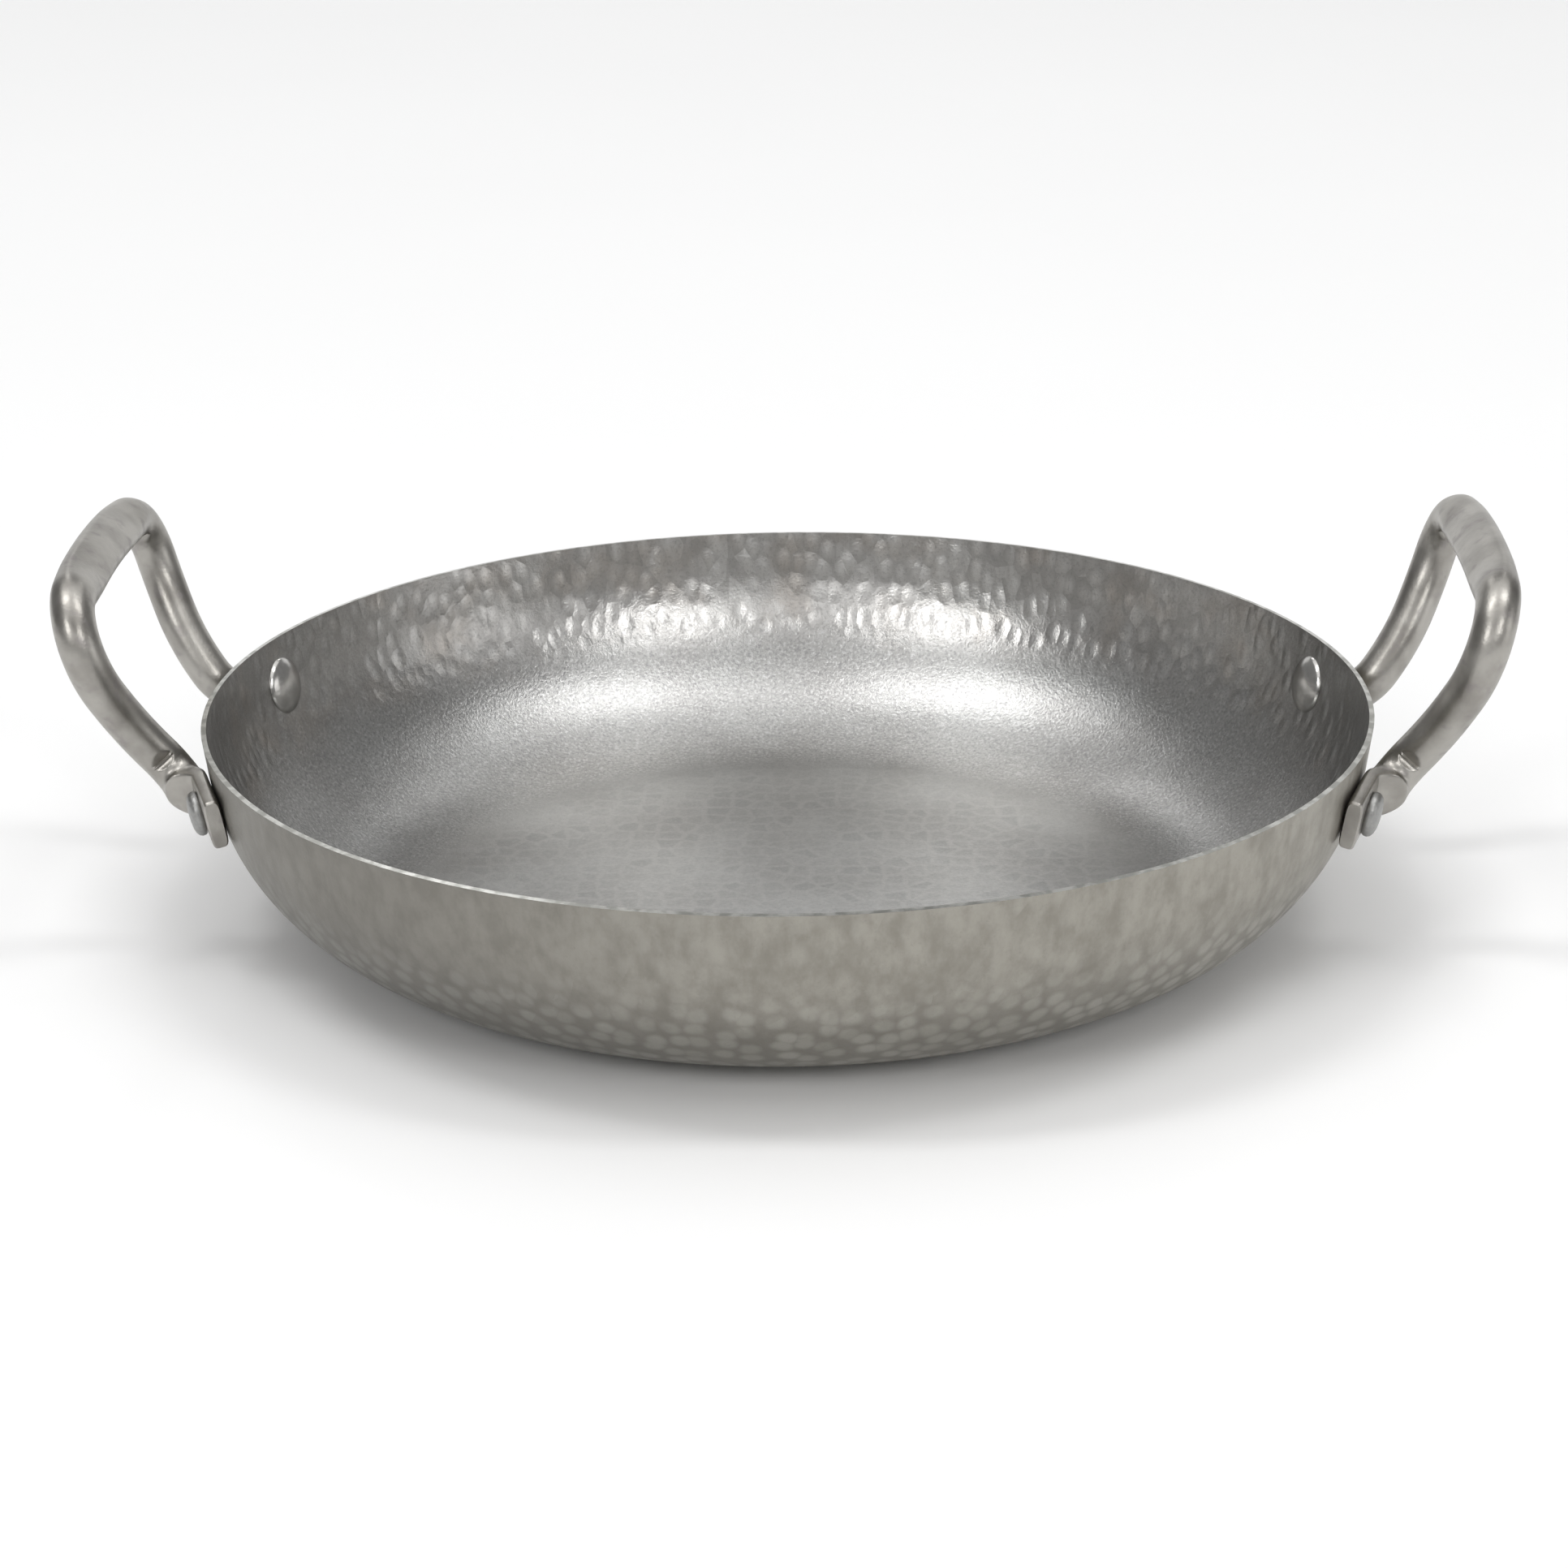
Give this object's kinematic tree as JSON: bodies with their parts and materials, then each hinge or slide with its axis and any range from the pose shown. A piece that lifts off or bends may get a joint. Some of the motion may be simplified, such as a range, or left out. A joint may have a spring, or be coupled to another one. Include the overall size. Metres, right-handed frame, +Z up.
{
  "type": "two-handled metal pan",
  "caption": "Shallow round hammered-steel pan with a flat base, a flared wall, a plain rim and riveted rod loop handles that stand above the rim.",
  "frame": {"origin": "centre of the flat base, on the surface that the pan stands on", "axes": "+Z up out of the pan, X through the middles of the handles, Y across between them"},
  "size_m": [0.338, 0.28, 0.0939],
  "materials": {
    "hammered_steel": "hammered, satin, lightly etched",
    "rod_steel": "satin, hand polished",
    "rivet_steel": "bright domed head inside, matte upset head outside"
  },
  "bodies": {
    "root": {"bowl": "hammered_steel", "handle_right": "rod_steel", "handle_left": "rod_steel", "rivet_right_back": "rivet_steel", "rivet_right_front": "rivet_steel", "rivet_left_back": "rivet_steel", "rivet_left_front": "rivet_steel"}
  },
  "joints": []
}
